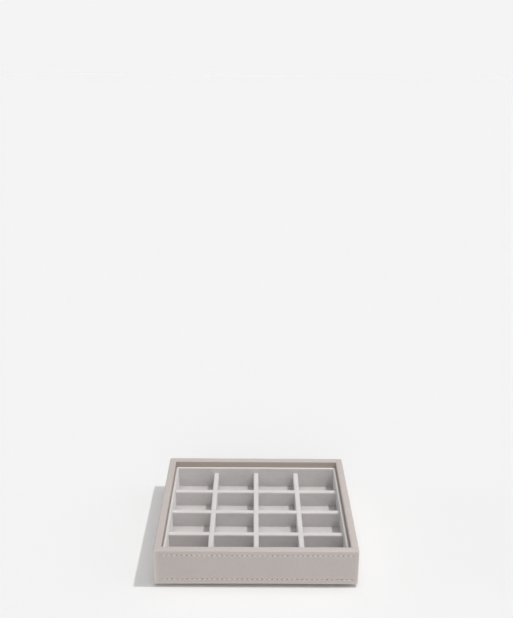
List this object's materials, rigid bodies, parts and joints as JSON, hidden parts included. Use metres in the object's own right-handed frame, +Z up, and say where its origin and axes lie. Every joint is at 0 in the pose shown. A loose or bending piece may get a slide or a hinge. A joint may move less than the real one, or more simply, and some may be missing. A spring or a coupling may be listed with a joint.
{
  "type": "jewelry tray",
  "caption": "Shallow rectangular jewelry tray: a stitched leatherette case with a raised foot and a lift-out velvet insert divided into a grid of small cells.",
  "frame": {"origin": "middle of the footprint, on the surface that the foot's velvet rests on", "axes": "+Z up through the open top, +X to the right along the longer side, -Y towards the front wall"},
  "size_m": [0.18, 0.156, 0.0378],
  "materials": {
    "leatherette": "fine grain, satin",
    "velvet": "short dense pile, matt",
    "foot_velvet": "short dense pile, matt",
    "fibreboard": "raw fibreboard, matt",
    "lining": "uncoated, matt",
    "card": "grey board, matt"
  },
  "bodies": {
    "case": {"foot_velvet": "foot_velvet", "foot_board": "fibreboard", "case_base_board": "fibreboard", "case_base_lining": "lining", "case_front_board": "fibreboard", "case_right_board": "fibreboard", "case_back_board": "fibreboard", "case_left_board": "fibreboard", "case_front_cover": "leatherette", "case_right_cover": "leatherette", "case_back_cover": "leatherette", "case_left_cover": "leatherette"},
    "insert": {"insert_base_card": "card", "insert_floor_velvet": "velvet", "insert_front_wall": "card", "insert_right_wall": "card", "insert_back_wall": "card", "insert_left_wall": "card", "insert_front_velvet": "velvet", "insert_right_velvet": "velvet", "insert_back_velvet": "velvet", "insert_left_velvet": "velvet", "row_divider_1_card": "card", "row_divider_1_velvet": "velvet", "row_divider_2_card": "card", "row_divider_2_velvet": "velvet", "row_divider_3_card": "card", "row_divider_3_velvet": "velvet", "column_divider_1_card": "card", "column_divider_1_velvet": "velvet", "column_divider_2_card": "card", "column_divider_2_velvet": "velvet", "column_divider_3_card": "card", "column_divider_3_velvet": "velvet"}
  },
  "joints": [
    {"name": "insert_lift", "type": "slide", "parent": "case", "child": "insert", "axis": [0, 0, 1], "range_m": [0, 0.04]}
  ]
}
